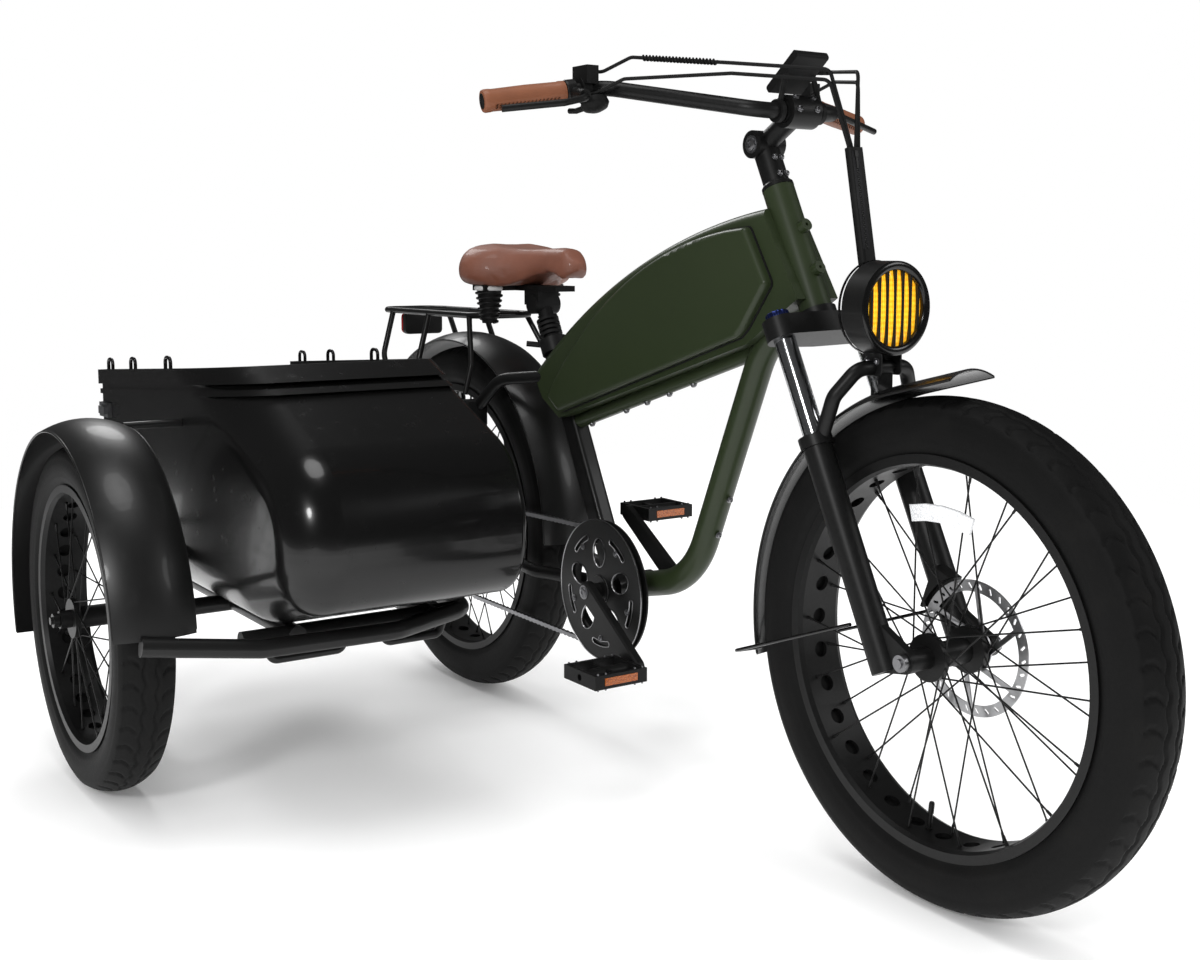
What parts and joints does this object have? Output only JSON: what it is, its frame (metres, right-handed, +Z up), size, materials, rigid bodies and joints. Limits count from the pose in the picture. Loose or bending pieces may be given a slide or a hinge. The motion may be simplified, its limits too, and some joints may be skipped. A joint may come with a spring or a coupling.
{
  "type": "electric bicycle with sidecar",
  "caption": "Electric cruiser bicycle with a tank-style battery frame, suspension fork, rear rack and an open tub sidecar on its right side carried by a third wheel.",
  "frame": {"origin": "floor level, middle of the footprint of the whole vehicle", "axes": "+X forwards, +Y to the rider's left, +Z up; the sidecar is on the right"},
  "size_m": [1.9359, 1.221, 1.1239],
  "materials": {
    "amber_lens": "warm amber lamp lens",
    "amber_reflector": "amber reflector",
    "black_alloy": "black anodised alloy",
    "black_paint": "satin black paint",
    "black_plastic": "matt black plastic",
    "brown_grip": "brown stitched grip cover",
    "brown_leather": "brown stitched leather",
    "chrome": "polished chrome",
    "disc_steel": "brushed brake disc",
    "gloss_black": "gloss black lacquer",
    "green_paint": "satin dark olive green paint",
    "red_lens": "red tail lamp lens",
    "steel": "zinc-plated steel",
    "tyre_rubber": "matt black tyre rubber"
  },
  "bodies": {
    "frame": {"bottom_bracket": "black_paint", "chain": "steel", "chainstays": "black_paint", "derailleur": "black_alloy", "down_tube": "green_paint", "head_tube": "green_paint", "lower_tube": "green_paint", "rear_axle": "steel", "rear_caliper": "black_alloy", "rear_fender": "gloss_black", "rear_rack": "black_paint", "saddle": "brown_leather", "saddle_springs": "black_plastic", "seat_post": "black_plastic", "seat_tube": "black_paint", "seatstays": "black_paint", "side_fender": "gloss_black", "sidecar_axle": "black_paint", "sidecar_chassis": "black_paint", "sidecar_links": "black_paint", "tail_lamp": "red_lens", "tailgate_fittings": "steel", "tank": "green_paint", "tank_panels": "green_paint", "tub": "gloss_black", "tub_rim": "gloss_black"},
    "steering": {"fork_crown": "black_alloy", "fork_stanchions": "chrome", "fork_lowers": "black_alloy", "front_axle": "steel", "front_fender": "gloss_black", "front_caliper": "black_alloy", "handlebar": "black_alloy", "grips": "brown_grip", "brake_levers": "black_alloy", "control_pods": "black_plastic", "stem": "black_alloy", "display": "black_plastic", "head_lamp": "black_paint", "head_lamp_lens": "amber_lens", "cables": "black_plastic"},
    "front_wheel": {"front_tyre": "tyre_rubber", "front_rim": "black_alloy", "front_hub_and_spokes": "black_alloy", "front_brake_disc": "disc_steel"},
    "rear_wheel": {"rear_tyre": "tyre_rubber", "rear_rim": "black_alloy", "rear_motor_and_spokes": "black_alloy", "rear_brake_disc": "disc_steel", "cassette": "steel"},
    "side_wheel": {"side_tyre": "tyre_rubber", "side_rim": "black_alloy", "side_hub_and_spokes": "black_alloy"},
    "crankset": {"chainring": "black_alloy", "crank_arms": "black_alloy"},
    "right_pedal": {"right_pedal": "black_alloy", "right_pedal_reflectors": "amber_reflector"},
    "left_pedal": {"left_pedal": "black_alloy", "left_pedal_reflectors": "amber_reflector"},
    "tailgate": {"tailgate": "gloss_black"}
  },
  "joints": [
    {"name": "steering_turn", "type": "hinge", "parent": "frame", "child": "steering", "pos_m": [0.3753, 0.2485, 0.763], "axis": [-0.4462, 0, 0.8949], "range_deg": [-45, 45]},
    {"name": "front_wheel_spin", "type": "hinge", "parent": "steering", "child": "front_wheel", "pos_m": [0.636, 0.2485, 0.332], "axis": [0, 1, 0], "continuous": true},
    {"name": "rear_wheel_spin", "type": "hinge", "parent": "frame", "child": "rear_wheel", "pos_m": [-0.608, 0.2485, 0.332], "axis": [0, 1, 0], "continuous": true},
    {"name": "side_wheel_spin", "type": "hinge", "parent": "frame", "child": "side_wheel", "pos_m": [-0.422, -0.5365, 0.275], "axis": [0, 1, 0], "continuous": true},
    {"name": "crank_turn", "type": "hinge", "parent": "frame", "child": "crankset", "pos_m": [-0.067, 0.2485, 0.291], "axis": [0, 1, 0], "continuous": true},
    {"name": "right_pedal_spin", "type": "hinge", "parent": "crankset", "child": "right_pedal", "pos_m": [0.07228, 0.0985, 0.19706], "axis": [0, 1, 0], "continuous": true},
    {"name": "left_pedal_spin", "type": "hinge", "parent": "crankset", "child": "left_pedal", "pos_m": [-0.20628, 0.3985, 0.38494], "axis": [0, 1, 0], "continuous": true},
    {"name": "tailgate_drop", "type": "hinge", "parent": "frame", "child": "tailgate", "pos_m": [-0.871, -0.204, 0.274], "axis": [0, -1, 0], "range_deg": [0, 95]}
  ]
}
